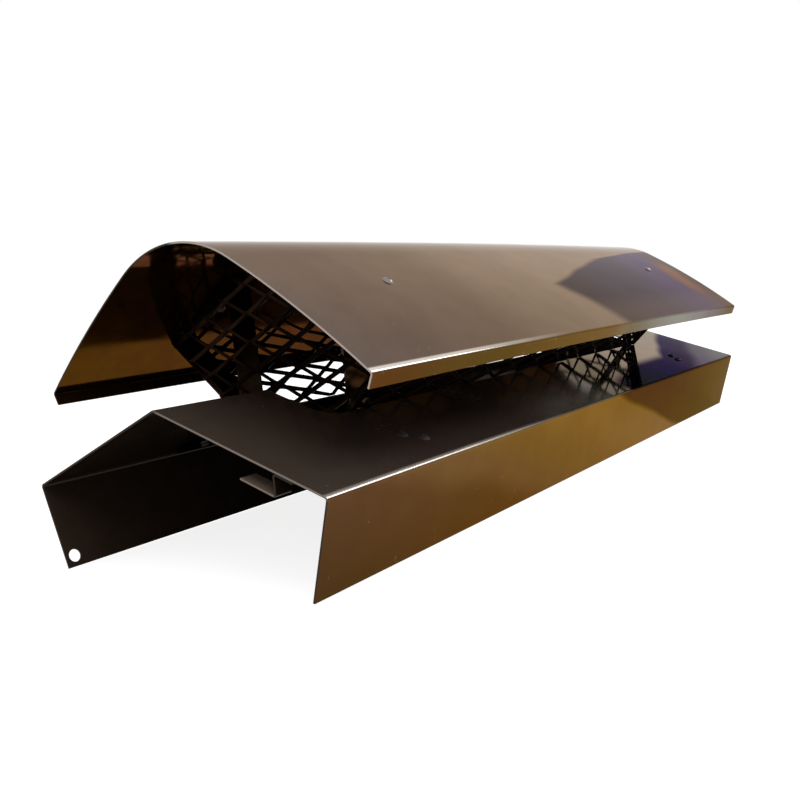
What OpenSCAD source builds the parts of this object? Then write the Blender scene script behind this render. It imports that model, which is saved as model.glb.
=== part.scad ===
// Gas flue ridge terminal: a folded saddle that sits over a roof ridge, a cage of expanded
// metal around its flue opening, and a rolled hood held above it on four straps.
// X runs along the ridge, Z is up, and the saddle's side flanges stand on Z = 0.
// Lengths are in millimetres and angles in degrees.

/* [Sheet] */
// Thickness of the saddle, hood and collar sheet
sheet = 1; // [0.8:0.1:1.4]
// Outside radius of a folded edge
fold_r = 2; // [1.8:0.1:3]
// Gap between pieces that seat on each other
seat = 0.2; // [0.1:0.05:0.3]

/* [Saddle] */
// Length along the ridge
saddle_l = 600; // [560:5:700]
// Width from side fold to side fold
saddle_w = 206; // [196:1:216]
// Height of the ridge above the side folds
saddle_rise = 38.5; // [34:0.5:42]
// Depth of a side flange, measured along the sheet
flange_l = 48; // [40:1:60]
// Inward lean of a side flange
flange_tuck = 17.5; // [10:0.5:22]
// Diameter of the fixing hole in the left flange
fixing_d = 7; // [5:0.5:9]
// Distance of the fixing hole from the near end
fixing_in = 5.5; // [5:0.5:12]
// Distance of the fixing hole from the flange's bottom edge
fixing_up = 6; // [5.5:0.5:12]

/* [Hood] */
// Length of the hood along the ridge
hood_l = 555; // [530:5:600]
// Width from eave fold to eave fold
hood_w = 231; // [225:1:240]
// Height of the eave folds above the saddle's side folds
hood_lift = 48.5; // [44:0.5:54]
// Height of the crown above the eave folds
hood_rise = 69.5; // [66:0.5:73]
// Outside radius of the crown
crown_r = 72; // [66:1:78]
// Outside radius of the slightly bowed sides
side_r = 590; // [500:10:800]
// Depth of the lip below an eave fold
lip_l = 8; // [6:0.5:12]
// Inward lean of the lip
lip_tuck = 24; // [10:1:30]

/* [Flue opening] */
// Width of the opening in the saddle
opening_w = 83; // [80:1:88]
// How far the opening runs past the cage at each end
opening_over = 16.5; // [15:0.5:24]
// Radius of the opening's corners
opening_r = 14; // [8:0.5:14]
// How far the flue collar drops below the ridge
collar_drop = 36; // [32:1:44]
// How far the collar's top edge lies below the saddle's upper face
collar_sink = 1.5; // [1.3:0.1:3]

/* [Straps] */
// Width of a strap along the ridge
strap_w = 18; // [16:1:22]
// Thickness of a strap
strap_t = 1.5; // [1.2:0.1:2]
// Distance between the near and far straps' centre lines
strap_gap = 393; // [380:1:400]
// Width of a strap's foot
foot_w = 27; // [26:1:30]
// Distance of the hood rivets from the ridge line
hood_rivet_y = 64.5; // [60:0.5:68]
// How far the near hood rivets lie outward of their strap's centre line
near_rivet_shift = -5.5; // [-5.5:0.5:5]
// How far the far hood rivets lie outward of their strap's centre line
far_rivet_shift = 1.5; // [-5:0.5:5]
// Distance of the saddle rivets' middle from the ridge line
saddle_rivet_y = 79.5; // [74:0.5:82]
// How far the saddle rivets lie outward of their strap's centre line
foot_rivet_shift = 8; // [7:0.5:9]
// Length of strap left beyond a rivet
strap_end = 9; // [8:0.5:11]

/* [Rivets] */
// Diameter of a rivet's shank
rivet_d = 3.2; // [2.4:0.2:3.6]
// Diameter of a rivet's head
rivet_head_d = 6.6; // [6:0.2:7.4]
// Height of a rivet's head
rivet_head_h = 1.6; // [1.2:0.1:2]
// Spacing of the two rivets at a strap's foot
rivet_pitch = 11.4; // [9:0.2:11.6]
// Turn of that pair from square to the ridge
rivet_turn = 41; // [35:1:45]
// Clearance round a rivet's shank
rivet_fit = 0.1; // [0.05:0.05:0.15]

/* [Cage] */
// Gap between the straps and the end panels
cage_play = 0.5; // [0.3:0.1:2]
// How far the side panels stand outside the opening's edge
cage_step = 1; // [1:0.5:4]
// Outward lean of the side panels from upright
cage_lean = 47.5; // [42:0.5:52]
// Thickness of the expanded metal
mesh_t = 1.5; // [1:0.1:2]
// Long way of a mesh cell, between centres
cell_long = 35; // [28:1:40]
// Short way of a mesh cell, between centres
cell_short = 16.5; // [12:0.5:18]
// Width of a mesh strand
strand_w = 2.7; // [2:0.1:3]
// Width of the plain strip at each end of a side panel
edge_w = 4; // [3:0.5:8]
// Sideways place of the end panels' cells
end_cells_side = -10.5; // [-17:0.5:17]
// Height of the end panels' cells above their foot
end_cells_up = 1; // [-8:0.5:8]

/* [Tile clip] */
// Width of the clip along the ridge
clip_w = 10; // [8:1:14]
// Distance of the clip's web from the ridge line
clip_y = 73; // [66:1:78]
// Depth of the clip's web below the slope
clip_drop = 10; // [8:0.5:14]
// Length of the clip's foot under the slope
clip_foot = 21; // [12:1:24]
// Length of the clip's flange against the slope
clip_top = 12; // [8:1:14]

/* [Hidden] */
$fa = 2;
$fs = 0.4;
crown_step = 2.5;
fold_step = 12;
eps = 0.01;
near = -1;
far = 1;
left = 1;
right = -1;
inner = -1;
outer = 1;

// Sections are drawn as [y, z] points and run from the right side over the ridge to the left.
slope = atan(saddle_rise / (saddle_w / 2));
z_fold = flange_l * cos(flange_tuck);
z_ridge = z_fold + saddle_rise;
y_foot = saddle_w / 2 - flange_l * sin(flange_tuck);

// The hood's section is a crown arc that runs smoothly into two flatter side arcs.
z_eave = z_fold + hood_lift;
z_crown = z_eave + hood_rise;
crown_c = [0, z_crown - crown_r];
eave = [hood_w / 2, z_eave];
to_eave = eave - crown_c;
crown_share = (2 * side_r * crown_r - pow(crown_r, 2) - to_eave * to_eave) / (2 * (side_r - crown_r));
crown_a = heading_of(to_eave) - acos(crown_share / norm(to_eave));
side_c = crown_c - (side_r - crown_r) * heading(crown_a);
side_a = heading_of(eave - side_c) - fold_r / side_r * 180 / PI;
side_end = side_c + side_r * heading(side_a);

// The cage stands round the straps, and the flue opening runs on a little past it.
cage_l = strap_gap + strap_w + 2 * cage_play;
opening_l = cage_l + 2 * mesh_t + 2 * opening_over;

// The flue collar is an oblong tube that stands between the straps.
strap_y = opening_w / 2 - 2 * seat - strap_t;
collar_w = 2 * (strap_y - seat);
collar_l = opening_l - (opening_w - collar_w);
collar_r = opening_r - (opening_w - collar_w) / 2;
z_collar = z_ridge - collar_drop;

// A strap's upper flange lies under the hood and its lower flange under the saddle.
strap_x = strap_gap / 2;
hood_flange_y = [opening_w / 2, hood_rivet_y + strap_end];
hood_flange = [for (y = hood_flange_y) [y, hood_under(y, seat)]];
foot_flange_end = saddle_rivet_y + rivet_pitch / 2 * cos(rivet_turn) + strap_end;
foot_flange_start = strap_y + 3 * strap_t;
rivet_grip = sheet + seat + strap_t;
strap_bend = 0.5;
clip_bend = 0.5;

// The side panels lean out from the saddle's slope until they meet the hood.
cage_foot_y = opening_w / 2 + cage_step;
panel_foot = [cage_foot_y, slope_top(cage_foot_y) + seat];
panel_way = heading(cage_lean);
panel_in = heading(cage_lean - 90) * mesh_t;
panel_h = min(reach(panel_foot, panel_way), reach(panel_foot + panel_in, panel_way));

// A unit vector that leans clockwise from upright by an angle
function heading(a) = [sin(a), cos(a)];
function heading_of(v) = atan2(v[0], v[1]);
function unit(v) = v / norm(v);

// Height of the saddle's upper face at a distance from the ridge line
function slope_top(y) = z_ridge - abs(y) * tan(slope);

// A point a depth below the saddle's lower face, measured square to the slope
function below_slope(y, depth) = [y, slope_top(y) - (sheet + depth) / cos(slope)];

// Height of a line that lies a gap below the hood's inner face
function hood_under(y, gap) =
    let (c = abs(y) < (crown_r - sheet) * sin(crown_a) ? crown_c : side_c,
         r = (c == crown_c ? crown_r : side_r) - sheet - gap)
    c[1] + sqrt(pow(r, 2) - pow(abs(y) - c[0], 2));

// Distance along a direction from a point to the seat gap under the hood's side arc
function reach(p, d) =
    let (v = p - side_c, r = side_r - sheet - seat, along = v * d)
    -along + sqrt(pow(along, 2) - v * v + pow(r, 2));

// Points along an arc, from one heading to another in steps of about the given angle
function arc(c, r, a0, a1, step) =
    let (n = max(1, ceil(abs(a1 - a0) / step)))
    [for (i = [0 : n]) c + r * heading(a0 + (a1 - a0) * i / n)];

function reversed(p) = [for (i = [len(p) - 1 : -1 : 0]) p[i]];

// A half outline that starts on the ridge line, made whole
function both_halves(p) = concat([for (i = [len(p) - 1 : -1 : 1]) [-p[i][0], p[i][1]]], p);

// The points of one fold, on a line that lies a distance to the right of the corner's own line
function fold(p0, p1, p2, r, t, off) =
    let (a = unit(p1 - p0), b = unit(p2 - p1), hand = a[0] * b[1] < a[1] * b[0] ? 1 : -1,
         turn = acos(a * b), line_r = hand > 0 ? r : r - t, from = heading_of(a),
         c = p1 - a * line_r * tan(turn / 2) + hand * line_r * heading(from + 90),
         start = from + 90 + (hand > 0 ? 180 : 0))
    arc(c, line_r - hand * off, start, start + hand * turn, fold_step);

// Sheet folded along a line of corner points, with its thickness on the right of the line
function folded_line(p, r, t, off) =
    let (n = len(p), first = unit(p[1] - p[0]), last = unit(p[n - 1] - p[n - 2]))
    concat([p[0] + off * [first[1], -first[0]]],
           [for (i = [1 : n - 2]) each fold(p[i - 1], p[i], p[i + 1], r, t, off)],
           [p[n - 1] + off * [last[1], -last[0]]]);

module folded(p, r, t) {
    polygon(concat(folded_line(p, r, t, 0), reversed(folded_line(p, r, t, t))));
}

// Half of the hood's section line, at a depth below its outer face
function hood_half(depth) =
    let (fold_c = side_end - fold_r * heading(side_a), lip_a = 90 + lip_tuck,
         lip_top = fold_c + (fold_r - depth) * heading(lip_a))
    concat(arc(crown_c, crown_r - depth, 0, crown_a, crown_step),
           arc(side_c, side_r - depth, crown_a + crown_step / 8, side_a, crown_step),
           arc(fold_c, fold_r - depth, side_a + fold_step / 2, lip_a, fold_step),
           [lip_top + (lip_l - fold_r) * heading(lip_a + 90)]);

// A section drawn in [y, z] made into a length of stock about a place along the ridge
module along_ridge(x, l) {
    translate([x, 0, 0]) rotate([90, 0, 90]) linear_extrude(l, center = true) children();
}

module on_side(side) {
    mirror([0, side == left ? 0 : 1, 0]) children();
}

module oblong(l, w, r) {
    square([l - 2 * r, w], center = true);
    square([l, w - 2 * r], center = true);
    for (x = [-1, 1], y = [-1, 1]) translate([x * (l / 2 - r), y * (w / 2 - r)]) circle(r);
}

// Places the drawing of a rivet with its head's seat on the hood's outer face
module at_hood_rivet(end, side) {
    a = asin((hood_rivet_y - side_c[0]) / side_r);
    z = side_c[1] + side_r * cos(a);
    shift = end == near ? near_rivet_shift : far_rivet_shift;
    on_side(side) translate([end * (strap_x + shift), hood_rivet_y, z]) rotate([-a, 0, 0]) children();
}

// Places the drawing of one of the two rivets at a strap's foot on the saddle's slope
module at_foot_rivet(end, side, place) {
    on_side(side)
        translate([end * (strap_x + foot_rivet_shift), saddle_rivet_y, slope_top(saddle_rivet_y)])
            rotate([-slope, 0, 0]) rotate(end * rivet_turn)
                translate([0, place * rivet_pitch / 2, 0]) children();
}

module rivet_hole() {
    translate([0, 0, -rivet_grip - 1]) cylinder(h = rivet_grip + 2, d = rivet_d + 2 * rivet_fit);
}

module rivet() {
    dome_r = (pow(rivet_head_d / 2, 2) + pow(rivet_head_h, 2)) / (2 * rivet_head_h);
    tail_h = 0.6 * rivet_head_h;
    color("saddlebrown") rotate_extrude() {
        intersection() {
            translate([0, rivet_head_h + seat - dome_r]) circle(dome_r);
            translate([0, seat]) square([rivet_head_d / 2, rivet_head_h]);
        }
        translate([0, -rivet_grip - seat - tail_h])
            square([rivet_d / 2, rivet_grip + 2 * seat + tail_h + eps]);
        translate([0, -rivet_grip - seat - tail_h]) square([0.8 * rivet_d, tail_h]);
    }
}

module ridge_saddle() {
    color("dimgray") difference() {
        along_ridge(0, saddle_l)
            folded([[-y_foot, 0], [-saddle_w / 2, z_fold], [0, z_ridge],
                    [saddle_w / 2, z_fold], [y_foot, 0]], fold_r, sheet);
        translate([0, 0, z_fold]) linear_extrude(saddle_rise + 1)
            oblong(opening_l, opening_w, opening_r);
        translate([near * (saddle_l / 2 - fixing_in), y_foot, 0])
            rotate([-flange_tuck, 0, 0]) translate([0, 0, fixing_up])
                rotate([90, 0, 0]) cylinder(h = 6 * sheet, d = fixing_d, center = true);
        for (end = [near, far], side = [left, right], place = [inner, outer])
            at_foot_rivet(end, side, place) rivet_hole();
    }
}

module hood() {
    color("rosybrown") difference() {
        along_ridge(0, hood_l)
            polygon(concat(both_halves(hood_half(0)), reversed(both_halves(hood_half(sheet)))));
        for (end = [near, far], side = [left, right]) at_hood_rivet(end, side) rivet_hole();
    }
}

module flue_collar() {
    edge = [for (y = [-saddle_w / 2, 0, saddle_w / 2]) [y, slope_top(y) - collar_sink]];
    color("gray") intersection() {
        translate([0, 0, z_collar]) linear_extrude(collar_drop) difference() {
            oblong(collar_l, collar_w, collar_r);
            oblong(collar_l - 2 * sheet, collar_w - 2 * sheet, collar_r - sheet);
        }
        along_ridge(0, saddle_l) polygon(concat([[-saddle_w / 2, 0]], edge, [[saddle_w / 2, 0]]));
    }
}

// The holes of expanded metal, row by row, over a stretch of sheet
module cells(l, h) {
    lean = atan(cell_short / cell_long);
    half_l = cell_long / 2 - strand_w / 2 / sin(lean);
    half_h = cell_short / 2 - strand_w / 2 / cos(lean);
    flat = strand_w / 3;
    columns = ceil(l / cell_long / 2) + 1;
    rows = ceil(2 * h / cell_short) + 1;
    for (row = [-1 : rows], column = [-columns : columns])
        translate([(column + (row % 2) / 2) * cell_long, row * cell_short / 2])
            polygon([[half_l, 0], [flat, half_h], [-flat, half_h],
                     [-half_l, 0], [-flat, -half_h], [flat, -half_h]]);
}

module cage_side(side) {
    color("black") on_side(side) translate([0, panel_foot[0], panel_foot[1]])
        rotate([90 - cage_lean, 0, 0]) linear_extrude(mesh_t) difference() {
            translate([-cage_l / 2, 0]) square([cage_l, panel_h]);
            intersection() {
                translate([edge_w - cage_l / 2, -cell_short])
                    square([cage_l - 2 * edge_w, panel_h + 2 * cell_short]);
                cells(cage_l, panel_h);
            }
        }
}

module cage_end(end) {
    top_y = panel_foot[0] + panel_h * panel_way[0];
    bank_y = opening_w / 2 - seat;
    half_foot = [[bank_y, slope_top(bank_y) + seat], panel_foot];
    half_top = [for (i = [0 : 12]) let (y = top_y * (1 - i / 12)) [y, hood_under(y, seat)]];
    half = concat(half_foot, half_top);
    whole = concat(half, [for (i = [len(half) - 2 : -1 : 0]) [-half[i][0], half[i][1]]]);
    color("black") along_ridge(end * (cage_l + mesh_t) / 2, mesh_t) difference() {
        polygon(whole);
        translate([end_cells_side, panel_foot[1] + end_cells_up])
            cells(2 * top_y + cell_long, z_crown - panel_foot[1]);
    }
}

module strap(end, side) {
    flange_way = unit(hood_flange[1] - hood_flange[0]);
    z_shoulder = hood_flange[0][1] - (hood_flange[0][0] - strap_y) * flange_way[1] / flange_way[0];
    line = [below_slope(foot_flange_end, seat + strap_t), below_slope(strap_y, seat + strap_t),
            [strap_y, z_shoulder], hood_flange[1]];
    foot = [for (p = [[foot_flange_start, 0], [foot_flange_end, 0],
                      [foot_flange_end, strap_t], [foot_flange_start, strap_t]])
            below_slope(p[0], seat + p[1])];
    color("darkslategray") on_side(side) difference() {
        union() {
            along_ridge(end * strap_x, strap_w) folded(line, strap_t + strap_bend, strap_t);
            along_ridge(end * (strap_x + (foot_w - strap_w) / 2), foot_w) polygon(foot);
        }
        at_hood_rivet(end, left) rivet_hole();
        for (place = [inner, outer]) at_foot_rivet(end, left, place) rivet_hole();
    }
}

module hood_rivet(end, side) {
    at_hood_rivet(end, side) rivet();
}

module foot_rivet(end, side, place) {
    at_foot_rivet(end, side, place) rivet();
}

// A small bent clip under the right slope, at the near end
module tile_clip() {
    web_top = below_slope(clip_y, seat);
    web_foot = web_top - [0, clip_drop];
    foot_way = unit(web_top - below_slope(0, seat));
    color("dimgray") on_side(right) along_ridge(near * (saddle_l - clip_w) / 2, clip_w)
        folded([web_foot - clip_foot * foot_way, web_foot, web_top, web_top + clip_top * foot_way],
               sheet + clip_bend, sheet);
}

ridge_saddle();
hood();
flue_collar();
cage_side(left);  // cage_side_left
cage_side(right);  // cage_side_right
cage_end(near);  // cage_end_near
cage_end(far);  // cage_end_far
strap(near, left);  // strap_near_left
strap(near, right);  // strap_near_right
strap(far, left);  // strap_far_left
strap(far, right);  // strap_far_right
hood_rivet(near, left);  // hood_rivet_near_left
hood_rivet(near, right);  // hood_rivet_near_right
hood_rivet(far, left);  // hood_rivet_far_left
hood_rivet(far, right);  // hood_rivet_far_right
foot_rivet(near, left, inner);  // foot_rivet_near_left_inner
foot_rivet(near, left, outer);  // foot_rivet_near_left_outer
foot_rivet(near, right, inner);  // foot_rivet_near_right_inner
foot_rivet(near, right, outer);  // foot_rivet_near_right_outer
foot_rivet(far, left, inner);  // foot_rivet_far_left_inner
foot_rivet(far, left, outer);  // foot_rivet_far_left_outer
foot_rivet(far, right, inner);  // foot_rivet_far_right_inner
foot_rivet(far, right, outer);  // foot_rivet_far_right_outer
tile_clip();
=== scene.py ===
import math

import bpy
from mathutils import Matrix, Vector


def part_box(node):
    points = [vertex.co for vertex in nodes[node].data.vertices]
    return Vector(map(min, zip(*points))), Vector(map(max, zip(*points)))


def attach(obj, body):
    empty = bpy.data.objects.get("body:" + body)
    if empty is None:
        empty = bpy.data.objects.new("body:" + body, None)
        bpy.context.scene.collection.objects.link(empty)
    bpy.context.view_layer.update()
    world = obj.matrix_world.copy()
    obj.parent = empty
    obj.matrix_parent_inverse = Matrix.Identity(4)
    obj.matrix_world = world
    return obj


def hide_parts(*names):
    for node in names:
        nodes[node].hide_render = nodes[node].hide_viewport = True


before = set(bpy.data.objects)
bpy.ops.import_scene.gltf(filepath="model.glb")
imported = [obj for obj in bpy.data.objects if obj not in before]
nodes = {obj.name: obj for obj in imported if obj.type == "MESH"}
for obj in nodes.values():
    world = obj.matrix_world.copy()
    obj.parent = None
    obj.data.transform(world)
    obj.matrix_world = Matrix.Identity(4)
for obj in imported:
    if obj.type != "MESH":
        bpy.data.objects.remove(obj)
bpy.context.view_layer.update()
bpy.ops.object.select_all(action="DESELECT")
print("frame loaded:", len(nodes), "nodes")


# Tools for shaping a piece

def setActive(piece):
    bpy.ops.object.select_all(action="DESELECT")
    piece.select_set(True)
    bpy.context.view_layer.objects.active = piece


def editing(piece):
    setActive(piece)
    bpy.ops.object.mode_set(mode="EDIT")
    bpy.ops.mesh.select_all(action="SELECT")


def doneEditing():
    bpy.ops.object.mode_set(mode="OBJECT")


def addModifier(piece, kind, **settings):
    setActive(piece)
    modifier = piece.modifiers.new(kind.lower(), kind)
    for setting, value in settings.items():
        setattr(modifier, setting, value)
    bpy.ops.object.modifier_apply(modifier=modifier.name)


def mergedCopy(nodeName, pieceName, flatten=True):
    piece = bpy.data.objects.new(pieceName, nodes[nodeName].data.copy())
    bpy.context.collection.objects.link(piece)
    setActive(piece)
    bpy.ops.mesh.customdata_custom_splitnormals_clear()
    editing(piece)
    bpy.ops.mesh.remove_doubles(threshold=0.00001)
    if flatten:
        bpy.ops.mesh.dissolve_limited(angle_limit=math.radians(0.4))
    doneEditing()
    return piece


def softenEdges(piece, width, segments=2, angle=50):
    addModifier(piece, "BEVEL", width=width, segments=segments, limit_method="ANGLE",
                angle_limit=math.radians(angle), use_clamp_overlap=True)


def smoothFaces(piece, angle=40, weighted=True):
    setActive(piece)
    bpy.ops.object.shade_smooth_by_angle(angle=math.radians(angle))
    if weighted:
        addModifier(piece, "WEIGHTED_NORMAL", keep_sharp=True, weight=60)


def paintFaces(piece, materials, choose):
    piece.data.materials.clear()
    for material in materials:
        piece.data.materials.append(material)
    for face in piece.data.polygons:
        face.material_index = choose(face)


def placePiece(piece, slotName, *nodeNames):
    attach(piece, "root")
    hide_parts(*nodeNames)


# Paint

hoodPaint = {
    # place along the ridge in metres, colour; the sheet's brown lightens towards the far end with a painted reflection
    "outside": [(-0.300, (0.200, 0.170, 0.150)), (-0.246, (0.210, 0.158, 0.135)), (-0.162, (0.255, 0.190, 0.146)),
                (-0.080, (0.355, 0.275, 0.203)), (-0.016, (0.430, 0.330, 0.245)), (0.260, (0.430, 0.325, 0.225))],
    "sideShade": 0.72,  # share of the crown's brightness that is left at the eaves
    # painted reflection: a slate patch on the right side of the crown, towards the far end
    "patch": [(0.000, (0.100, 0.082, 0.078)), (0.120, (0.096, 0.080, 0.084)), (0.210, (0.096, 0.074, 0.092)),
              (0.275, (0.104, 0.078, 0.062))],
    "patchStart": -0.016,
    "patchMiddle": 0.076,  # distance of the patch's point from the ridge line
    "patchLeanUp": -4.9,  # metres along the ridge for each metre from the point
    "patchTurn": 0.047,  # nearer to the ridge line than this, the patch's edge leans more
    "patchTurnLean": 5.6,
    "patchLeanDown": 1.0,
    "patchTint": [(0.000, (0.45, 0.41, 0.40)), (0.120, (0.44, 0.40, 0.42)), (0.210, (0.43, 0.37, 0.45)),
                  (0.275, (0.40, 0.32, 0.28))],
    "rustBand": (0.125, 0.078, 0.060),  # a short warm band of painted reflection across the patch
    "rustBandTint": (0.62, 0.41, 0.33),
    "rustBandPlace": 0.243,
    # the lip's colours along the ridge are painted reflections of warm and light surroundings
    "lip": [(-0.280, (0.095, 0.038, 0.010)), (-0.190, (0.092, 0.055, 0.014)), (-0.040, (0.145, 0.083, 0.022)),
            (0.130, (0.330, 0.350, 0.290)), (0.280, (0.180, 0.150, 0.078))],
    # painted highlight along the right fold, towards the near end
    "foldWear": (0.80, 0.74, 0.67),
    # the inside is a darker copy of the paint: painted shade, with a painted warm reflection in its tint
    "inside": (0.084, 0.0375, 0.0040),
    "insideTint": (0.54, 0.42, 0.20),
    # painted highlight on the right side's cut edges; darkEdge is their own dark paint elsewhere
    "cutEdge": (0.420, 0.350, 0.315),
    "darkEdge": (0.030, 0.020, 0.013),
    "rough": 0.085,
    "metallic": 0.95,
    "edgeTint": (0.60, 0.52, 0.46),
    "gloss": 0.2,
}
saddlePaint = {
    # painted shade and painted reflection along the slope: dark under the hood, lighter past the cage, with the tint
    # following them
    "slope": [(-0.300, (0.096, 0.072, 0.055)), (-0.200, (0.064, 0.042, 0.036)), (-0.130, (0.048, 0.036, 0.030)),
              (-0.040, (0.074, 0.066, 0.050)), (0.060, (0.130, 0.105, 0.075)), (0.150, (0.260, 0.210, 0.160)),
              (0.300, (0.260, 0.210, 0.160))],
    "slopeTint": [(-0.300, (0.42, 0.41, 0.40)), (-0.040, (0.38, 0.375, 0.35)), (0.060, (0.52, 0.46, 0.39)),
                  (0.170, (0.66, 0.57, 0.49)), (0.300, (0.64, 0.57, 0.50))],
    "slopeMetallic": (0.55, 0.95),  # over the near part, over the far part
    "slopeRough": (0.20, 0.05),
    # painted reflection: the far part of the right slope turns purple away from the cage, measured on a line that
    # leans out towards the fold
    "purple": [(0.300, (0.016, 0.011, 0.026)), (0.400, (0.026, 0.018, 0.044)), (0.435, (0.036, 0.026, 0.048)),
               (0.475, (0.072, 0.056, 0.080)), (0.540, (0.090, 0.072, 0.090))],
    "purpleTint": [(0.300, (0.23, 0.20, 0.25)), (0.400, (0.20, 0.18, 0.25)), (0.435, (0.21, 0.185, 0.24)),
                   (0.475, (0.38, 0.34, 0.38)), (0.540, (0.45, 0.43, 0.42))],
    "purpleLean": 2.5,
    # painted warm reflection on the flange, dark with painted shade past a leaning line; place along the ridge,
    # measured on a line that leans back as it climbs the flange
    "flange": [(-0.300, (0.068, 0.034, 0.0135)), (-0.126, (0.095, 0.047, 0.0210)), (-0.060, (0.153, 0.084, 0.036)),
               (0.003, (0.172, 0.098, 0.032)), (0.100, (0.216, 0.121, 0.036)), (0.165, (0.200, 0.111, 0.029)),
               (0.185, (0.080, 0.050, 0.015)), (0.300, (0.058, 0.035, 0.011)), (0.400, (0.060, 0.037, 0.016))],
    "flangeTint": (0.62, 0.50, 0.40),
    "flangeShadeTint": (0.49, 0.40, 0.30),
    # painted highlight along the right fold, towards the near end
    "foldWear": (0.62, 0.56, 0.50),
    # the inside is a darker copy of the paint: painted shade
    "inside": (0.052, 0.034, 0.023),
    # painted highlight on the right side's cut edges above the fold; darkEdge is their own dark paint elsewhere
    "cutEdge": (0.175, 0.145, 0.125),
    "darkEdge": (0.030, 0.020, 0.012),
    "flangeRough": 0.075,
    "metallic": 0.95,
    "gloss": 0.2,
}
rightOfRidge = (0.002, -0.004)  # from no share to the whole share of the painted highlights, shade and reflections that only the right side has
smallPaint = {
    "mesh": {"colour": (0.014, 0.0085, 0.0055), "rough": 0.30, "metallic": 0.85, "edgeTint": (0.20, 0.15, 0.11),
             "gloss": 0.08},
    # the left straps are a darker copy of the right ones: painted shade under the hood
    "leftStrap": {"colour": (0.013, 0.008, 0.005), "rough": 0.18, "metallic": 0.85, "edgeTint": (0.20, 0.15, 0.11),
                  "gloss": 0.08},
    "rightStrap": {"colour": (0.042, 0.022, 0.011), "rough": 0.16, "metallic": 0.85, "edgeTint": (0.26, 0.18, 0.12),
                   "gloss": 0.08},
    "collar": {"colour": (0.040, 0.028, 0.020), "rough": 0.16, "metallic": 0.80, "edgeTint": 0.5, "gloss": 0.3},
    # the foot rivets are a darker copy of the hood rivets: painted shade under the hood
    "hoodRivet": {"colour": (0.260, 0.225, 0.215), "rough": 0.16, "metallic": 0.80, "edgeTint": 0.6, "gloss": 0.5},
    "footRivet": {"colour": (0.050, 0.040, 0.040), "rough": 0.40, "metallic": 0.50, "edgeTint": 0.35, "gloss": 0.2},
}
# the web is a darker copy of the clip's paint: painted shade under the saddle
clipPaint = {"foot": (0.190, 0.145, 0.115), "web": (0.020, 0.013, 0.008), "rough": 0.30, "metallic": 0.40}
paintSurface = {
    "waveScale": 11.0,
    "waveHeight": 0.00045,
    "grainScale": 700.0,
    "grainHeight": 0.000006,
    "speckScale": 520.0,
    "speckStrength": 0.12,
    "warpScale": 9.0,
    "warpWidth": 0.05,
}


def newPaint(name, metallic, rough, edgeTint, gloss):
    material = bpy.data.materials.new(name)
    material.use_nodes = True
    tree = material.node_tree
    shader = tree.nodes["Principled BSDF"]
    shader.inputs["Metallic"].default_value = metallic
    if isinstance(edgeTint, float):
        edgeTint = (edgeTint, edgeTint, edgeTint)
    shader.inputs["Specular Tint"].default_value = (*edgeTint, 1)
    shader.inputs["Specular IOR Level"].default_value = gloss
    place = tree.nodes.new("ShaderNodeTexCoord").outputs["Object"]
    wave = addNoise(tree, place, paintSurface["waveScale"], 1)
    grain = addNoise(tree, place, paintSurface["grainScale"], 2)
    waveBump = tree.nodes.new("ShaderNodeBump")
    waveBump.inputs["Distance"].default_value = paintSurface["waveHeight"]
    grainBump = tree.nodes.new("ShaderNodeBump")
    grainBump.inputs["Distance"].default_value = paintSurface["grainHeight"]
    tree.links.new(wave, waveBump.inputs["Height"])
    tree.links.new(grain, grainBump.inputs["Height"])
    tree.links.new(waveBump.outputs["Normal"], grainBump.inputs["Normal"])
    tree.links.new(grainBump.outputs["Normal"], shader.inputs["Normal"])
    smudge = addNoise(tree, place, 38, 4)
    tree.links.new(mapped(tree, smudge, 0.35, 0.75, rough * 0.75, rough * 1.5), shader.inputs["Roughness"])
    return material, tree, shader, place


def addNoise(tree, place, scale, detail):
    noise = tree.nodes.new("ShaderNodeTexNoise")
    noise.inputs["Scale"].default_value = scale
    noise.inputs["Detail"].default_value = detail
    tree.links.new(place, noise.inputs["Vector"])
    return noise.outputs["Fac"]


def mapped(tree, value, fromLow, fromHigh, toLow, toHigh):
    box = tree.nodes.new("ShaderNodeMapRange")
    box.interpolation_type = "SMOOTHSTEP"
    for socket, number in zip(list(box.inputs)[1:5], (fromLow, fromHigh, toLow, toHigh)):
        socket.default_value = number
    tree.links.new(value, box.inputs["Value"])
    return box.outputs["Result"]


def calculate(tree, operation, *values):
    box = tree.nodes.new("ShaderNodeMath")
    box.operation = operation
    for socket, value in zip(box.inputs, values):
        if isinstance(value, (int, float)):
            socket.default_value = value
        else:
            tree.links.new(value, socket)
    return box.outputs["Value"]


def mixColours(tree, factor, first, second):
    box = tree.nodes.new("ShaderNodeMix")
    box.data_type = "RGBA"
    tree.links.new(factor, box.inputs["Factor"])
    for socket, colour in ((box.inputs["A"], first), (box.inputs["B"], second)):
        if isinstance(colour, tuple):
            socket.default_value = (*colour, 1)
        else:
            tree.links.new(colour, socket)
    return box.outputs["Result"]


def coloursAlong(tree, place, stops):
    low, high = stops[0][0], stops[-1][0]
    ramp = tree.nodes.new("ShaderNodeValToRGB")
    ramp.color_ramp.interpolation = "EASE"
    while len(ramp.color_ramp.elements) < len(stops):
        ramp.color_ramp.elements.new(0.5)
    for element, (where, colour) in zip(ramp.color_ramp.elements, stops):
        element.position = (where - low) / (high - low)
        element.color = (*colour, 1)
    share = calculate(tree, "DIVIDE", calculate(tree, "SUBTRACT", place, low), high - low)
    tree.links.new(share, ramp.inputs["Fac"])
    return ramp.outputs["Color"]


def splitPlace(tree, place):
    split = tree.nodes.new("ShaderNodeSeparateXYZ")
    tree.links.new(place, split.inputs["Vector"])
    return split.outputs["X"], split.outputs["Y"], split.outputs["Z"]


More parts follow.
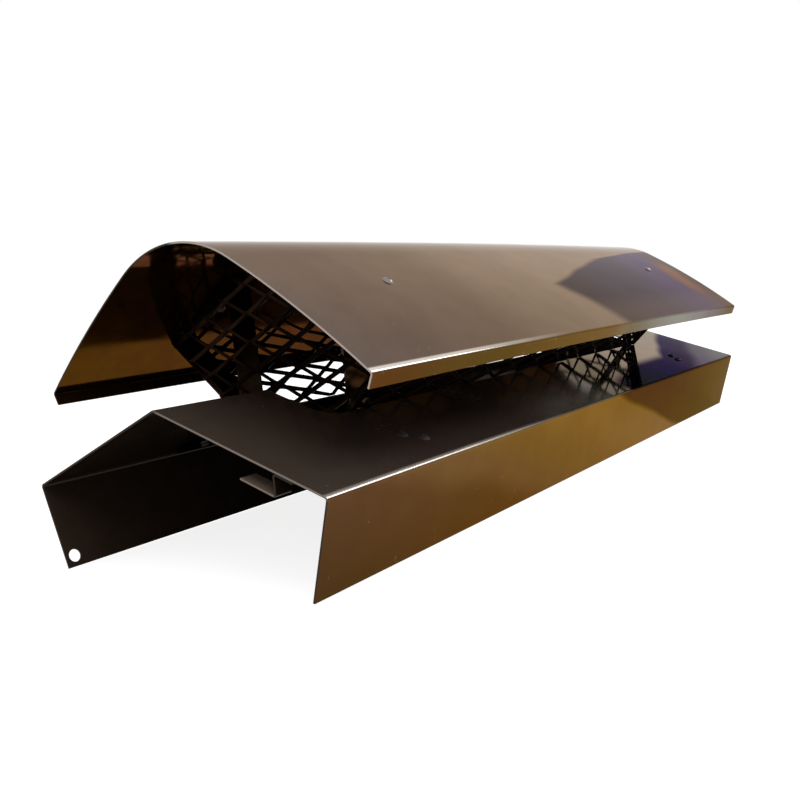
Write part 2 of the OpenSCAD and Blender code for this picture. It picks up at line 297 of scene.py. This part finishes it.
def warpedAlong(tree, place, along):
    warp = addNoise(tree, place, paintSurface["warpScale"], 2)
    shift = calculate(tree, "MULTIPLY", calculate(tree, "SUBTRACT", warp, 0.5), paintSurface["warpWidth"])
    return calculate(tree, "ADD", along, shift)


def mottled(tree, place, colour):
    mottle = addNoise(tree, place, 55, 5)
    speck = addNoise(tree, place, paintSurface["speckScale"], 0)
    darker = mapped(tree, mottle, 0.3, 0.7, 0.0, 0.10)
    dusty = mapped(tree, speck, 0.80, 0.86, 0.0, paintSurface["speckStrength"])
    shaded = mixColours(tree, darker, colour, (0.02, 0.015, 0.012))
    return mixColours(tree, dusty, shaded, (0.45, 0.42, 0.38))


def scaled(tree, colour, amount):
    box = tree.nodes.new("ShaderNodeVectorMath")
    box.operation = "SCALE"
    tree.links.new(colour, box.inputs[0])
    tree.links.new(amount, box.inputs["Scale"])
    return box.outputs["Vector"]


def hoodOutside():
    material, tree, shader, place = newPaint("hoodOutside", hoodPaint["metallic"], hoodPaint["rough"],
                                             hoodPaint["edgeTint"], hoodPaint["gloss"])
    along, across, up = splitPlace(tree, place)
    sunk = calculate(tree, "MULTIPLY", calculate(tree, "MULTIPLY", along, along), hoodSizes["endDroop"] / hoodEnd ** 2)
    up = calculate(tree, "ADD", up, sunk)
    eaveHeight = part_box("hood")[0].z + hoodSizes["lipDepth"]
    onFoldHighlight = foldWear(tree, along, across, up, eaveHeight)
    along = warpedAlong(tree, place, along)
    fromRidge = calculate(tree, "ABSOLUTE", across)
    shade = mapped(tree, fromRidge, 0.045, 0.112, 1, hoodPaint["sideShade"])
    # painted reflection on the right of the crown: a slate patch with a warm band across it
    fromPoint = calculate(tree, "SUBTRACT", fromRidge, hoodPaint["patchMiddle"])
    lean = calculate(tree, "MAXIMUM", calculate(tree, "MULTIPLY", fromPoint, hoodPaint["patchLeanUp"]),
                     calculate(tree, "MULTIPLY", fromPoint, hoodPaint["patchLeanDown"]))
    pastTurn = calculate(tree, "MAXIMUM", calculate(tree, "SUBTRACT", hoodPaint["patchTurn"], fromRidge), 0)
    lean = calculate(tree, "ADD", lean, calculate(tree, "MULTIPLY", pastTurn, hoodPaint["patchTurnLean"]))
    intoPatch = calculate(tree, "SUBTRACT", calculate(tree, "SUBTRACT", along, lean), hoodPaint["patchStart"])
    reflectionPatchShare = calculate(tree, "MULTIPLY", mapped(tree, intoPatch, -0.016, 0.008, 0, 1),
                           calculate(tree, "MULTIPLY", mapped(tree, across, *rightOfRidge, 0, 1),
                                     mapped(tree, fromRidge, 0.088, 0.108, 1, 0.8)))
    fromBand = calculate(tree, "ABSOLUTE", calculate(tree, "SUBTRACT", along, hoodPaint["rustBandPlace"]))
    onBand = calculate(tree, "MULTIPLY", mapped(tree, fromBand, 0.002, 0.026, 1, 0),
                       calculate(tree, "MULTIPLY", mapped(tree, fromRidge, 0.048, 0.066, 0, 1),
                                 mapped(tree, fromRidge, 0.086, 0.106, 1, 0)))
    patch = mixColours(tree, onBand, coloursAlong(tree, along, hoodPaint["patch"]), hoodPaint["rustBand"])
    patchTint = mixColours(tree, onBand, coloursAlong(tree, along, hoodPaint["patchTint"]), hoodPaint["rustBandTint"])
    tree.links.new(mixColours(tree, reflectionPatchShare, hoodPaint["edgeTint"], patchTint), shader.inputs["Specular Tint"])
    outside = scaled(tree, coloursAlong(tree, along, hoodPaint["outside"]), shade)
    colour = mixColours(tree, reflectionPatchShare, outside, patch)
    # the lip takes its painted reflection colours
    onLip = mapped(tree, up, eaveHeight + 0.0002, eaveHeight - 0.0012, 0, 1)
    colour = mixColours(tree, onLip, colour, coloursAlong(tree, along, hoodPaint["lip"]))
    colour = mixColours(tree, onFoldHighlight, colour, hoodPaint["foldWear"])
    tree.links.new(mottled(tree, place, colour), shader.inputs["Base Color"])
    return material


# painted highlight along a fold, on the right side towards the near end only
def foldWear(tree, along, across, up, foldHeight):
    fromFold = calculate(tree, "ABSOLUTE", calculate(tree, "SUBTRACT", up, foldHeight))
    onFold = mapped(tree, fromFold, 0.0004, 0.0013, 1, 0)
    nearEnd = mapped(tree, along, -0.24, -0.06, 1, 0)
    rightSide = mapped(tree, across, *rightOfRidge, 0, 1)
    return calculate(tree, "MULTIPLY", calculate(tree, "MULTIPLY", onFold, nearEnd), rightSide)


def saddleSlope():
    material, tree, shader, place = newPaint("saddleSlope", saddlePaint["metallic"], 1, 0.4, saddlePaint["gloss"])
    along, across, up = splitPlace(tree, place)
    onFoldHighlight = foldWear(tree, along, across, up, saddleSizes["foldHeight"])
    along = warpedAlong(tree, place, along)
    fromRidge = calculate(tree, "ABSOLUTE", across)
    # painted reflection: purple on the right slope past the cage
    besideCage = calculate(tree, "ADD", fromRidge,
                           calculate(tree, "MULTIPLY", calculate(tree, "MINIMUM", along, 0.13), 0.2))
    pastCage = calculate(tree, "ADD", along, calculate(tree, "MULTIPLY", fromRidge, saddlePaint["purpleLean"]))
    beyondCage = calculate(tree, "MAXIMUM", mapped(tree, besideCage, 0.092, 0.104, 0, 1),
                           mapped(tree, pastCage, 0.363, 0.385, 0, 1))
    purpleShare = calculate(tree, "MULTIPLY", calculate(tree, "MULTIPLY", beyondCage, mapped(tree, along, 0.035, 0.060, 0, 1)),
                            mapped(tree, across, *rightOfRidge, 0, 1))
    colour = mixColours(tree, purpleShare, coloursAlong(tree, along, saddlePaint["slope"]),
                        coloursAlong(tree, pastCage, saddlePaint["purple"]))
    colour = mixColours(tree, onFoldHighlight, colour, saddlePaint["foldWear"])
    tree.links.new(mottled(tree, place, colour), shader.inputs["Base Color"])
    tree.links.new(mixColours(tree, purpleShare, coloursAlong(tree, along, saddlePaint["slopeTint"]),
                              coloursAlong(tree, pastCage, saddlePaint["purpleTint"])),
                   shader.inputs["Specular Tint"])
    tree.links.new(mapped(tree, along, -0.02, 0.05, *saddlePaint["slopeMetallic"]), shader.inputs["Metallic"])
    smudged = shader.inputs["Roughness"].links[0].from_socket
    tree.links.new(calculate(tree, "MULTIPLY", smudged, mapped(tree, along, -0.12, 0.05, *saddlePaint["slopeRough"])),
                   shader.inputs["Roughness"])
    return material


def saddleFlange():
    material, tree, shader, place = newPaint("saddleFlange", saddlePaint["metallic"], saddlePaint["flangeRough"],
                                             saddlePaint["flangeTint"], saddlePaint["gloss"])
    along, across, up = splitPlace(tree, place)
    along = warpedAlong(tree, place, along)
    # painted warm reflection along the flange and painted shade past a leaning line; the left flange stops before the
    # shade
    leaning = calculate(tree, "ADD", along, calculate(tree, "MULTIPLY", up, saddleSizes["flangeShadeLean"]))
    leaning = calculate(tree, "MINIMUM", leaning, mapped(tree, across, *rightOfRidge, 0.1, 0.5))
    tree.links.new(mottled(tree, place, coloursAlong(tree, leaning, saddlePaint["flange"])),
                   shader.inputs["Base Color"])
    shadeShare = mapped(tree, leaning, 0.165, 0.185, 0, 1)
    tree.links.new(mixColours(tree, shadeShare, saddlePaint["flangeTint"], saddlePaint["flangeShadeTint"]),
                   shader.inputs["Specular Tint"])
    return material


def plainPaint(name, colour, metallic, rough, edgeTint=0.6, gloss=0.5):
    material, tree, shader, place = newPaint(name, metallic, rough, edgeTint, gloss)
    mottle = mapped(tree, addNoise(tree, place, 90, 4), 0.3, 0.7, 0.0, 0.35)
    darker = tuple(part * 0.55 for part in colour)
    tree.links.new(mixColours(tree, mottle, tuple(colour), darker), shader.inputs["Base Color"])
    return material


# cut edges: a painted highlight on the right side above the fold, their own dark paint elsewhere
def edgePaint(name, edgeHighlight, dark, foldHeight):
    material, tree, shader, place = newPaint(name, 0.5, 0.3, 0.6, 0.3)
    along, across, up = splitPlace(tree, place)
    rightSide = mapped(tree, across, *rightOfRidge, 0, 1)
    overFold = mapped(tree, up, foldHeight - 0.002, foldHeight, 0, 1)
    tree.links.new(mixColours(tree, calculate(tree, "MULTIPLY", rightSide, overFold), dark, edgeHighlight),
                   shader.inputs["Base Color"])
    return material


def clipFinish():
    material, tree, shader, place = newPaint("clipPaint", clipPaint["metallic"], clipPaint["rough"], 0.5, 0.3)
    along, across, up = splitPlace(tree, place)
    steep = saddleSizes["rise"] / saddleSizes["halfWidth"]
    roof = saddleSizes["foldHeight"] + saddleSizes["rise"]
    below = calculate(tree, "MULTIPLY", calculate(tree, "ABSOLUTE", across), -steep)
    below = calculate(tree, "SUBTRACT", calculate(tree, "ADD", below, roof), up)
    # painted shade: the web under the saddle is darker than the foot
    onFoot = calculate(tree, "MULTIPLY", mapped(tree, below, 0.0088, 0.0096, 0, 1),
                       mapped(tree, calculate(tree, "ABSOLUTE", across), 0.0720, 0.0730, 1, 0))
    tree.links.new(mixColours(tree, onFoot, clipPaint["web"], clipPaint["foot"]), shader.inputs["Base Color"])
    return material


# The hood: one sheet rolled over the crown, with a small lip folded in under each eave

hoodSizes = {
    "crownRadius": 0.072,
    "sideRadius": 0.590,
    "width": 0.231,
    "rise": 0.0695,
    "foldRadius": 0.002,
    "lipDepth": 0.008,
    "lipTuck": 24,  # degrees
    "sheet": 0.001,
    "endDroop": 0.0013,  # a long thin sheet sinks a little towards its ends
    "stations": 24,
}
saddleSizes = {
    "foldHeight": 0.04578,
    "rise": 0.0385,
    "halfWidth": 0.103,
    "flangeShadeLean": 3.5,
    "sheet": 0.001,
}


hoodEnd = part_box("hood")[1].x


def droopAt(along):
    return hoodSizes["endDroop"] * (along / hoodEnd) ** 2


def settle(piece, low=0.070, high=0.110):
    for vertex in piece.data.vertices:
        share = min(1, max(0, (vertex.co.z - low) / (high - low)))
        vertex.co.z -= share * droopAt(vertex.co.x)


def makeHood():
    low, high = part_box("hood")
    crownRadius, sideRadius = hoodSizes["crownRadius"], hoodSizes["sideRadius"]
    crownCentre = Vector((0, 0, high.z - crownRadius))
    eave = Vector((0, hoodSizes["width"] / 2, high.z - hoodSizes["rise"]))
    toEave = eave - crownCentre
    share = (2 * sideRadius * crownRadius - crownRadius ** 2 - toEave.length_squared) / (
        2 * (sideRadius - crownRadius))
    crownTurn = math.atan2(toEave.y, toEave.z) - math.acos(share / toEave.length)
    sideCentre = crownCentre - (sideRadius - crownRadius) * Vector((0, math.sin(crownTurn), math.cos(crownTurn)))
    fromSide = eave - sideCentre
    sideTurn = math.atan2(fromSide.y, fromSide.z) - hoodSizes["foldRadius"] / sideRadius
    foldCentre = sideCentre + (sideRadius - hoodSizes["foldRadius"]) * Vector(
        (0, math.sin(sideTurn), math.cos(sideTurn)))
    lipTurn = math.radians(90 + hoodSizes["lipTuck"])
    lipWay = Vector((0, math.cos(lipTurn), -math.sin(lipTurn)))

    bpy.ops.mesh.primitive_plane_add(size=high.x - low.x, location=(0, 0, 0))
    hood = bpy.context.object
    hood.name = "hoodSheet"
    hood.data.name = "hoodSheet"
    bpy.ops.object.mode_set(mode="EDIT")
    bpy.ops.mesh.select_all(action="DESELECT")
    bpy.ops.object.mode_set(mode="OBJECT")
    for vertex in hood.data.vertices:
        vertex.select = vertex.co.y > 0
    bpy.ops.object.mode_set(mode="EDIT")
    bpy.ops.mesh.delete(type="VERT")
    bpy.ops.mesh.select_all(action="SELECT")
    bpy.ops.mesh.subdivide(number_cuts=hoodSizes["stations"] - 1)
    bpy.ops.transform.translate(value=(0, high.x, high.z))  # the edge lay at y = -half its length
    bpy.ops.mesh.spin(steps=18, angle=crownTurn, center=crownCentre, axis=(1, 0, 0))
    bpy.ops.mesh.spin(steps=12, angle=sideTurn - crownTurn, center=sideCentre, axis=(1, 0, 0))
    bpy.ops.mesh.spin(steps=8, angle=lipTurn - sideTurn, center=foldCentre, axis=(1, 0, 0))
    bpy.ops.mesh.extrude_region_move(
        TRANSFORM_OT_translate={"value": lipWay * (hoodSizes["lipDepth"] - hoodSizes["foldRadius"])})
    doneEditing()
    addModifier(hood, "MIRROR", use_axis=(False, True, False), merge_threshold=0.00001)
    editing(hood)
    bpy.ops.mesh.remove_doubles(threshold=0.00001)
    bpy.ops.mesh.normals_make_consistent(inside=False)
    doneEditing()
    crownFace = max(hood.data.polygons, key=lambda face: face.center.z)
    if crownFace.normal.z < 0:
        hood.data.flip_normals()
    # the inside faces take a darker copy of the paint as painted shade; the cut edges take a painted highlight on the
    # right side
    for material in (hoodOutside(), plainPaint("hoodInside", hoodPaint["inside"], 0.86, 0.09,
                                               hoodPaint["insideTint"], 0.1),
                     edgePaint("hoodCutEdge", hoodPaint["cutEdge"], hoodPaint["darkEdge"], 0)):
        hood.data.materials.append(material)
    addModifier(hood, "SOLIDIFY", thickness=hoodSizes["sheet"], offset=-1, use_even_offset=True,
                material_offset=1, material_offset_rim=2)
    softenEdges(hood, 0.00016)
    for vertex in hood.data.vertices:
        vertex.co.z -= droopAt(vertex.co.x)
    smoothFaces(hood)
    placePiece(hood, "hood_paint", "hood")


makeHood()
print("hood made")


# The saddle

def makeSaddle():
    saddle = mergedCopy("ridge_saddle", "saddleSheet")
    softenEdges(saddle, 0.00016)

    def whichPaint(face):
        if abs(face.normal.x) > 0.6:
            return 3
        outward = face.normal.y * face.center.y + face.normal.z * face.center.z
        if outward < 0:
            return 2
        return 1 if abs(face.normal.y) > 0.9 else 0

    paintFaces(saddle, [saddleSlope(), saddleFlange(),
                        # the inside faces take a darker copy of the paint: painted shade
                        plainPaint("saddleInside", saddlePaint["inside"], 0.4, 0.14, 0.4, 0.2),
                        edgePaint("saddleCutEdge", saddlePaint["cutEdge"], saddlePaint["darkEdge"],
                                  saddleSizes["foldHeight"])], whichPaint)
    smoothFaces(saddle)
    placePiece(saddle, "saddle_paint", "ridge_saddle")


makeSaddle()
print("saddle made")


# Expanded metal panels of the cage

cage = {
    "cellLong": 0.035,
    "cellShort": 0.0165,
    "strand": 0.0027,
    "panelLean": 47.5,  # degrees outward from upright
    "footOut": 0.0425,
    "footUp": 0.06842,
    "cellsSide": -0.0105,
    "cellsUp": 0.001,
    "rise": 0.0010,  # how far stretching lifts one edge of a strand and sinks the other
    "sideRise": 0.0011,
    "thin": 0.72,
    "outward": 0.0003,
    "endMargin": (0.0040, 0.0011),  # width and thickness of the plain strip down each slanting side of an end panel
    "endTab": 0.0190,  # the margin is folded back this far, just inside the side panel
    "tabGap": 0.0026,
    "tabFoot": 0.0065,
}


def joinStrip(panel, size, lean, middle):
    bpy.ops.object.select_all(action="DESELECT")
    bpy.ops.mesh.primitive_cube_add(size=1)
    strip = bpy.context.object
    editing(strip)
    bpy.ops.transform.resize(value=size)
    doneEditing()
    strip.data.transform(Matrix.Translation(middle) @ Matrix.Rotation(lean, 4, "X"))
    strip.data.materials.clear()
    panel.select_set(True)
    bpy.context.view_layer.objects.active = panel
    bpy.ops.object.join()


def latticeLift(along, up):
    a, b = along / (cage["cellLong"] / 2), up / (cage["cellShort"] / 2)
    p, q = a + b, a - b
    width = cage["strand"] / 2 / math.cos(math.atan(cage["cellShort"] / cage["cellLong"])) / (cage["cellShort"] / 2)
    pLine, qLine = 2 * math.floor(p / 2) + 1, 2 * math.floor(q / 2) + 1
    pOff, qOff = p - pLine, q - qLine
    if abs(pOff) < 0.5 and abs(qOff) < 0.5:
        return max(-1, min(1, (pOff - qOff) / 2 / width))
    if abs(pOff) < abs(qOff):
        down = (q - qLine) / 2 if q > qLine else (q - qLine + 2) / 2
        side = max(-1, min(1, pOff / width))
    else:
        down = (pLine - p) / 2 if p < pLine else (pLine + 2 - p) / 2
        side = max(-1, min(1, -qOff / width))
    return down - (1 - side) / 2


def shapeSide(nodeName, pieceName, side, finish):
    panel = mergedCopy(nodeName, pieceName, flatten=False)
    lean = math.radians(cage["panelLean"])
    way = Vector((0, math.sin(lean), math.cos(lean)))
    inward = Vector((0, -math.cos(lean), math.sin(lean)))
    foot = Vector((0, cage["footOut"], cage["footUp"]))
    spots = []
    for vertex in panel.data.vertices:
        spot = Vector((vertex.co.x, side * vertex.co.y, vertex.co.z)) - foot
        spots.append((spot.x, spot.dot(way), spot.dot(inward)))
    ups = [up for _, up, _ in spots]
    depths = [depth for _, _, depth in spots]
    top, bottom, middle = max(ups), min(ups), (max(depths) + min(depths)) / 2
    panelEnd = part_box(nodeName)[1].x
    for vertex, (along, up, depth) in zip(panel.data.vertices, spots):
        border = min(1, max(0, min(top - up, up - bottom) / 0.004))
        ends = min(1, max(0, (panelEnd - abs(along)) / 0.003))
        lift = latticeLift(along, up) * cage["sideRise"] * border * ends
        newDepth = middle + (depth - middle) * cage["thin"] + lift
        move = (newDepth - depth) * inward
        vertex.co += Vector((0, side * move.y, move.z))
    finishPanel(panel, nodeName, finish)


def shapeEnd(nodeName, pieceName, end, finish):
    panel = mergedCopy(nodeName, pieceName, flatten=False)
    low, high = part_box(nodeName)
    middle = (low.x + high.x) / 2
    for vertex in panel.data.vertices:
        along = vertex.co.y - cage["cellsSide"]
        up = vertex.co.z - cage["footUp"] - cage["cellsUp"]
        lift = latticeLift(along, up) * cage["rise"]
        vertex.co.x = middle + (vertex.co.x - middle) * cage["thin"] + end * (lift + cage["outward"])
    marginWidth, marginThick = cage["endMargin"]
    lean = math.radians(cage["panelLean"])
    length = (high.y - cage["footOut"]) / math.sin(lean)
    for side in (-1, 1):
        way = Vector((0, side * math.sin(lean), math.cos(lean)))
        inward = Vector((0, -side * math.cos(lean), math.sin(lean)))
        foot = Vector((middle + end * cage["outward"], side * cage["footOut"], cage["footUp"]))
        joinStrip(panel, (marginThick, marginWidth, length), -side * lean,
                  foot + way * length / 2 + inward * marginWidth / 2)
        tabMiddle = foot + way * (length + cage["tabFoot"]) / 2 + inward * cage["tabGap"]
        tabMiddle.x -= end * (cage["endTab"] - marginThick) / 2
        joinStrip(panel, (cage["endTab"], 0.0009, length - cage["tabFoot"]), -side * lean, tabMiddle)
    finishPanel(panel, nodeName, finish)


def finishPanel(panel, nodeName, finish):
    settle(panel)
    softenEdges(panel, 0.00012, 1, 60)
    panel.data.materials.clear()
    panel.data.materials.append(finish)
    smoothFaces(panel, 28, False)
    placePiece(panel, "mesh_paint", nodeName)


meshFinish = plainPaint("meshPaint", **smallPaint["mesh"])
shapeSide("cage_side_left", "meshSideLeft", 1, meshFinish)
shapeSide("cage_side_right", "meshSideRight", -1, meshFinish)
shapeEnd("cage_end_near", "meshEndNear", -1, meshFinish)
shapeEnd("cage_end_far", "meshEndFar", 1, meshFinish)
print("cage made")


# Straps, collar and clip

def dressNode(nodeName, pieceName, slotName, finish, bevel=0.0002, droops=True):
    piece = mergedCopy(nodeName, pieceName)
    softenEdges(piece, bevel)
    if droops:
        settle(piece)
    paintFaces(piece, [finish], lambda face: 0)
    smoothFaces(piece)
    placePiece(piece, slotName, nodeName)


for side in ("left", "right"):
    # the left straps get a darker copy of the paint: painted shade
    strapFinish = plainPaint(side + "StrapPaint", **smallPaint[side + "Strap"])
    for end in ("near", "far"):
        dressNode(f"strap_{end}_{side}", f"strap{end.title()}{side.title()}", "strap_paint", strapFinish)
dressNode("flue_collar", "flueCollar", "collar_paint", plainPaint("collarPaint", **smallPaint["collar"]), droops=False)
dressNode("tile_clip", "tileClip", "clip_paint", clipFinish(), droops=False)
print("straps, collar and clip made")


# Blind rivets: a domed head with the broken stem showing in its middle

rivetSizes = {
    "headRadius": 0.0033,
    "headHeight": 0.0016,
    "holeRadius": 0.0009,
    "holeDepth": 0.0007,
    "shankRadius": 0.0016,
    "tailRadius": 0.00256,
    "tailHeight": 0.00096,
    "grip": 0.0027,
    "seat": 0.0002,
    "steps": 28,
}


def makeRivetPattern():
    head, height = rivetSizes["headRadius"], rivetSizes["headHeight"]
    dome = (head ** 2 + height ** 2) / (2 * height)
    hole, shank, seat = rivetSizes["holeRadius"], rivetSizes["shankRadius"], rivetSizes["seat"]
    tailTop = -rivetSizes["grip"] - seat
    tailFoot = tailTop - rivetSizes["tailHeight"]
    stemTop = seat + height - rivetSizes["holeDepth"]
    outline = [(0, stemTop + 0.0001), (hole * 0.72, stemTop), (hole * 0.88, stemTop - 0.0002),
               (hole, stemTop + 0.0001)]
    first, last = math.asin((hole + 0.0001) / dome), math.asin(head / dome)
    for step in range(8):
        turn = first + (last - first) * step / 7
        outline.append((dome * math.sin(turn), seat + height - dome + dome * math.cos(turn)))
    outline += [(head - 0.00012, seat), (shank, seat), (shank, tailTop), (rivetSizes["tailRadius"] * 0.9, tailTop),
                (rivetSizes["tailRadius"], tailTop - 0.0002), (rivetSizes["tailRadius"] * 0.85, tailFoot),
                (0, tailFoot - 0.0001)]
    mesh = bpy.data.meshes.new("rivetPattern")
    mesh.from_pydata([(radius, 0, up) for radius, up in outline],
                     [(spot, spot + 1) for spot in range(len(outline) - 1)], [])
    pattern = bpy.data.objects.new("rivetPattern", mesh)
    bpy.context.collection.objects.link(pattern)
    editing(pattern)
    bpy.ops.mesh.spin(steps=rivetSizes["steps"], angle=2 * math.pi, center=(0, 0, 0), axis=(0, 0, 1))
    bpy.ops.mesh.select_all(action="SELECT")
    bpy.ops.mesh.remove_doubles(threshold=0.00001)
    bpy.ops.mesh.normals_make_consistent(inside=False)
    doneEditing()
    return pattern


def makeRivets():
    pattern = makeRivetPattern()
    # the foot rivets get a darker copy of the paint: painted shade under the hood
    finishes = {kind: plainPaint(kind + "RivetPaint", **smallPaint[kind + "Rivet"]) for kind in ("hood", "foot")}
    for nodeName in sorted(name for name in nodes if "rivet" in name):
        low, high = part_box(nodeName)
        words = nodeName.split("_")
        side = 1 if "left" in words else -1
        turn = rivetPlaces["hoodTurn"] if words[0] == "hood" else rivetPlaces["slopeTurn"]
        rivet = bpy.data.objects.new("".join([words[0]] + [word.title() for word in words[1:]]), pattern.data.copy())
        bpy.context.collection.objects.link(rivet)
        turned = Matrix.Rotation(-side * turn, 4, "X")
        rivet.data.transform(turned)
        heights = [vertex.co.z for vertex in rivet.data.vertices]
        widths = [vertex.co.y for vertex in rivet.data.vertices]
        rivet.data.transform(Matrix.Translation(((low.x + high.x) / 2, (low.y + high.y) / 2
                                                 - (max(widths) + min(widths)) / 2,
                                                 (low.z + high.z) / 2 - (max(heights) + min(heights)) / 2)))
        if words[0] == "hood":
            rivet.data.transform(Matrix.Translation((0, 0, -droopAt((low.x + high.x) / 2))))
        rivet.data.materials.append(finishes[words[0]])
        smoothFaces(rivet, 50, False)
        placePiece(rivet, "rivet_paint", nodeName)
    bpy.data.objects.remove(pattern)


rivetPlaces = {"hoodTurn": math.asin((0.0645 + 0.27811) / 0.590), "slopeTurn": math.atan(0.0385 / 0.103)}
makeRivets()
print("rivets made")


# Floor, light and camera

studio = {
    "floorSize": 6.0,
    "floorColour": (0.36, 0.36, 0.36, 1),
    "floorGlow": 0.84,
    "worldStrength": 0.75,
    "keyPower": 16.0,
    "fillPower": 5.0,
    "rimPower": 2.5,
}


def makeFloor():
    bpy.ops.mesh.primitive_plane_add(size=studio["floorSize"], location=(0, 0, -0.0005))
    floor = bpy.context.object
    floor.name = "floor"
    material = bpy.data.materials.new("paleFloor")
    material.use_nodes = True
    tree = material.node_tree
    shader = tree.nodes["Principled BSDF"]
    shader.inputs["Base Color"].default_value = studio["floorColour"]
    shader.inputs["Roughness"].default_value = 0.9
    rays = tree.nodes.new("ShaderNodeLightPath")
    seen = calculate(tree, "MAXIMUM", rays.outputs["Is Camera Ray"], rays.outputs["Is Glossy Ray"])
    seen = calculate(tree, "MAXIMUM", seen, rays.outputs["Is Transmission Ray"])
    glow = calculate(tree, "MULTIPLY", seen, studio["floorGlow"])
    shader.inputs["Emission Color"].default_value = (1, 1, 1, 1)
    tree.links.new(glow, shader.inputs["Emission Strength"])
    floor.data.materials.append(material)


def makeWorld():
    world = bpy.data.worlds.new("studioWorld")
    bpy.context.scene.world = world
    world.use_nodes = True
    tree = world.node_tree
    back = tree.nodes["Background"]
    rays = tree.nodes.new("ShaderNodeLightPath")
    seen = calculate(tree, "MAXIMUM", rays.outputs["Is Camera Ray"], rays.outputs["Is Glossy Ray"])
    seen = calculate(tree, "MAXIMUM", seen, rays.outputs["Is Transmission Ray"])
    tree.links.new(mapped(tree, seen, 0, 1, studio["worldStrength"], 1.0), back.inputs["Strength"])
    back.inputs["Color"].default_value = (1, 1, 1, 1)


def makeSoftbox(name, place, target, size, power, mirrored):
    bpy.ops.object.light_add(type="AREA", location=place)
    lamp = bpy.context.object
    lamp.name = name
    lamp.data.shape = "RECTANGLE"
    lamp.data.size, lamp.data.size_y = size
    lamp.data.energy = power
    lamp.visible_glossy = mirrored
    lamp.rotation_euler = (Vector(target) - Vector(place)).to_track_quat("-Z", "Y").to_euler()


cameraSetup = {
    "place": (-0.5549, -0.3310, 0.1135),
    "yaw": 53.71,  # degrees clockwise from +Y
    "pitch": -5.28,
    "roll": -6.2,
    "lens": 38.62,
}


def makeCamera():
    data = bpy.data.cameras.new("photoCamera")
    data.lens = cameraSetup["lens"]
    data.sensor_width = 36.0
    data.clip_start = 0.01
    camera = bpy.data.objects.new("photoCamera", data)
    bpy.context.collection.objects.link(camera)
    turn = (Matrix.Rotation(math.radians(-cameraSetup["yaw"]), 4, "Z")
            @ Matrix.Rotation(math.radians(90 + cameraSetup["pitch"]), 4, "X")
            @ Matrix.Rotation(math.radians(cameraSetup["roll"]), 4, "Z"))
    camera.matrix_world = Matrix.Translation(cameraSetup["place"]) @ turn
    bpy.context.scene.camera = camera


makeFloor()
makeWorld()
makeSoftbox("keySoftbox", (-0.6, -1.2, 1.4), (0, 0, 0.1), (1.4, 1.0), studio["keyPower"], False)
makeSoftbox("backSoftbox", (0.4, 1.4, 1.3), (0, 0, 0.1), (1.4, 1.0), studio["fillPower"], False)
makeSoftbox("rimSoftbox", (0.75, -0.58, 0.81), (-0.15, -0.10, 0.08), (0.5, 0.35), studio["rimPower"], True)
makeCamera()
bpy.context.scene.view_settings.view_transform = "Standard"
print("stage set")
